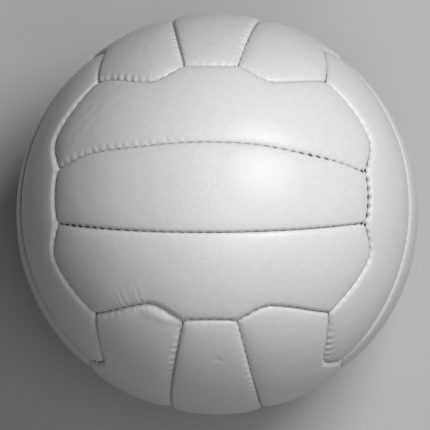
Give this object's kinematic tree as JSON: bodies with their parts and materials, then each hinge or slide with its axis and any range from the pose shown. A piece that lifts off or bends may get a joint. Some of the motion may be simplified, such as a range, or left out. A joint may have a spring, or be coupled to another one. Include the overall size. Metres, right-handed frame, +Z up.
{
  "type": "medicine ball",
  "caption": "Small weighted leather ball for physiotherapy, sewn from crowned strip panels in groups at right angles, over cloth, stuffing and a rubber bladder with a valve.",
  "frame": {"origin": "on the floor under the ball's centre, in the middle of the flat patch it rests on", "axes": "+Z up through the middle panel of the top group, +X along the top strips, +Y towards the valve at the back"},
  "size_m": [0.23, 0.2297, 0.2286],
  "materials": {
    "leather": "off-white full-grain leather, satin",
    "backing_cloth": "unbleached cotton laminate",
    "thread": "waxed reddish-brown sewing thread",
    "stuffing": "packed textile fibre",
    "bladder_rubber": "matt latex rubber",
    "valve_rubber": "black moulded rubber"
  },
  "bodies": {
    "root": {"top_front_panel": "leather", "top_middle_panel": "leather", "top_back_panel": "leather", "bottom_back_panel": "leather", "bottom_middle_panel": "leather", "bottom_front_panel": "leather", "right_lower_panel": "leather", "right_middle_panel": "leather", "right_upper_panel": "leather", "left_upper_panel": "leather", "left_middle_panel": "leather", "left_lower_panel": "leather", "back_left_panel": "leather", "back_middle_panel": "leather", "back_right_panel": "leather", "front_right_panel": "leather", "front_middle_panel": "leather", "front_left_panel": "leather", "top_front_backing": "backing_cloth", "top_middle_backing": "backing_cloth", "top_back_backing": "backing_cloth", "bottom_back_backing": "backing_cloth", "bottom_middle_backing": "backing_cloth", "bottom_front_backing": "backing_cloth", "right_lower_backing": "backing_cloth", "right_middle_backing": "backing_cloth", "right_upper_backing": "backing_cloth", "left_upper_backing": "backing_cloth", "left_middle_backing": "backing_cloth", "left_lower_backing": "backing_cloth", "back_left_backing": "backing_cloth", "back_middle_backing": "backing_cloth", "back_right_backing": "backing_cloth", "front_right_backing": "backing_cloth", "front_middle_backing": "backing_cloth", "front_left_backing": "backing_cloth", "top_front_seam_thread": "thread", "top_back_seam_thread": "thread", "bottom_back_seam_thread": "thread", "bottom_front_seam_thread": "thread", "right_lower_seam_thread": "thread", "right_upper_seam_thread": "thread", "left_upper_seam_thread": "thread", "left_lower_seam_thread": "thread", "back_left_seam_thread": "thread", "back_right_seam_thread": "thread", "front_right_seam_thread": "thread", "front_left_seam_thread": "thread", "edge_seam_thread_1": "thread", "edge_seam_thread_2": "thread", "edge_seam_thread_3": "thread", "edge_seam_thread_4": "thread", "stuffing": "stuffing", "bladder": "bladder_rubber", "valve": "valve_rubber"}
  },
  "joints": []
}
